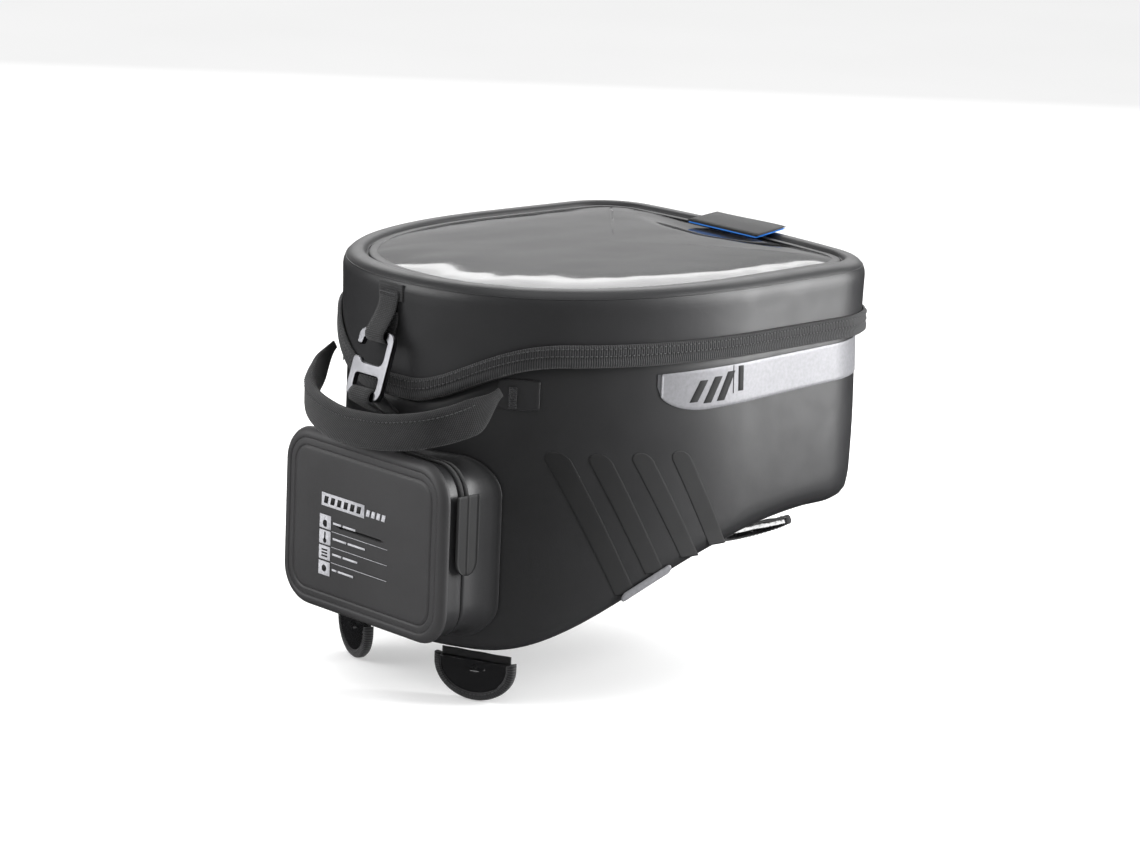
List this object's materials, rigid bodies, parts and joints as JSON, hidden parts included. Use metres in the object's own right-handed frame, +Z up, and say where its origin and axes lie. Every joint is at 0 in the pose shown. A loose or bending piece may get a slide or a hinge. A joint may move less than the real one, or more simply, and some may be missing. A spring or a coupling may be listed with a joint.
{
  "type": "motorcycle tank bag",
  "caption": "Sloping waterproof tank bag with a zipped hinged lid, map window, front pocket, hook closure, carry handle and magnetic flaps.",
  "frame": {"origin": "under the middle of the overall length and width, on the floor that the front flaps stand on", "axes": "+Z up, -Y towards the front pocket, +X to the right-hand side seen from the rear"},
  "size_m": [0.3126, 0.3935, 0.3029],
  "materials": {
    "coated_fabric": "satin thermoplastic coating with a fine grain",
    "dark_fabric": "matte coated fabric",
    "matte_print": "matte printed relief",
    "flap_fabric": "wrinkled glossy backing with a ribbed edge binding",
    "webbing": "ribbed and twill-woven polyester",
    "stiffener": "foam and board, hidden inside",
    "clear_film": "clear glossy film",
    "reflective": "silver grey reflective print",
    "aluminium": "satin, bead blasted",
    "blue_fabric": "smooth blue coated fabric",
    "zip_plastic": "moulded black plastic",
    "magnet": "plated magnet, hidden inside"
  },
  "bodies": {
    "body": {"body_shell": "coated_fabric", "body_lining": "dark_fabric", "base_board": "stiffener", "lower_zip_tape": "dark_fabric", "rear_hinge_strip": "coated_fabric", "hook_strap": "webbing", "handle_end_right": "webbing", "handle_end_left": "webbing", "pocket_tray": "coated_fabric", "pocket_zip_garage_right": "dark_fabric", "pocket_zip_garage_left": "dark_fabric", "reflective_strip_right": "reflective", "reflective_strip_left": "reflective", "lower_reflector_right": "reflective", "lower_reflector_left": "reflective", "side_stripe_right_1": "matte_print", "side_stripe_right_2": "matte_print", "side_stripe_right_3": "matte_print", "side_stripe_right_4": "matte_print", "side_stripe_left_1": "matte_print", "side_stripe_left_2": "matte_print", "side_stripe_left_3": "matte_print", "side_stripe_left_4": "matte_print"},
    "lid": {"lid_shell": "coated_fabric", "lid_foam": "stiffener", "map_panel": "dark_fabric", "map_window": "clear_film", "map_window_frame": "dark_fabric", "lid_binding": "webbing", "upper_zip_tape": "dark_fabric", "hook_loop": "webbing"},
    "map_tab": {"map_tab": "dark_fabric", "map_tab_backing": "blue_fabric"},
    "hook": {"g_hook": "aluminium"},
    "handle": {"carry_handle": "webbing"},
    "pocket_cover": {"pocket_cover": "coated_fabric", "pocket_rim": "coated_fabric", "pocket_face_panel": "coated_fabric"},
    "pocket_slider": {"pocket_zip_slider": "zip_plastic"},
    "pocket_pull": {"pocket_zip_pull": "webbing"},
    "main_slider": {"main_zip_slider": "zip_plastic"},
    "main_pull": {"main_zip_pull": "webbing"},
    "flap_front_right": {"flap_front_right": "flap_fabric", "flap_magnet_front_right": "magnet"},
    "flap_front_left": {"flap_front_left": "flap_fabric", "flap_magnet_front_left": "magnet"},
    "flap_rear_right": {"flap_rear_right": "flap_fabric", "flap_magnet_rear_right": "magnet"},
    "flap_rear_left": {"flap_rear_left": "flap_fabric", "flap_magnet_rear_left": "magnet"}
  },
  "joints": [
    {"name": "lid_hinge", "type": "hinge", "parent": "body", "child": "lid", "pos_m": [0, 0.19755, 0.2528], "axis": [-1, 0, 0], "range_deg": [0, 105], "deforming": ["hook_loop"]},
    {"name": "map_tab_hinge", "type": "hinge", "parent": "lid", "child": "map_tab", "pos_m": [0, 0.16275, 0.2964], "axis": [1, 0, 0], "range_deg": [0, 90]},
    {"name": "hook_swing", "type": "hinge", "parent": "body", "child": "hook", "pos_m": [0, -0.17825, 0.213], "axis": [1, 0, 0], "range_deg": [0, 80]},
    {"name": "handle_swing", "type": "hinge", "parent": "body", "child": "handle", "pos_m": [0, -0.12275, 0.224], "axis": [-1, 0, 0], "range_deg": [-6, 50]},
    {"name": "pocket_cover_hinge", "type": "hinge", "parent": "body", "child": "pocket_cover", "pos_m": [0, -0.15595, 0.048], "axis": [1, 0, 0], "range_deg": [0, 60]},
    {"name": "pocket_zip_slide", "type": "slide", "parent": "body", "child": "pocket_slider", "axis": [0, 0, 1], "range_m": [0, 0.026]},
    {"name": "pocket_pull_hinge", "type": "hinge", "parent": "pocket_slider", "child": "pocket_pull", "pos_m": [-0.0912, -0.15575, 0.1142], "axis": [0, 1, 0], "range_deg": [0, 90]},
    {"name": "main_zip_slide", "type": "slide", "parent": "body", "child": "main_slider", "axis": [0.0376, 0.9993, 0], "range_m": [0, 0.05]},
    {"name": "main_pull_hinge", "type": "hinge", "parent": "main_slider", "child": "main_pull", "pos_m": [-0.15113, 0.07575, 0.2396], "axis": [0, 1, 0], "range_deg": [0, 85]},
    {"name": "flap_front_right_hinge", "type": "hinge", "parent": "body", "child": "flap_front_right", "pos_m": [0.066, -0.12425, 0.0308], "axis": [-0.9336, -0.3584, 0], "range_deg": [-20, 80]},
    {"name": "flap_front_left_hinge", "type": "hinge", "parent": "body", "child": "flap_front_left", "pos_m": [-0.066, -0.12425, 0.0308], "axis": [-0.9336, 0.3584, 0], "range_deg": [-20, 80]},
    {"name": "flap_rear_right_hinge", "type": "hinge", "parent": "body", "child": "flap_rear_right", "pos_m": [0.122, 0.09475, 0.10774], "axis": [0, -1, 0], "range_deg": [-12, 140]},
    {"name": "flap_rear_left_hinge", "type": "hinge", "parent": "body", "child": "flap_rear_left", "pos_m": [-0.122, 0.09475, 0.10774], "axis": [0, 1, 0], "range_deg": [-12, 140]}
  ]
}
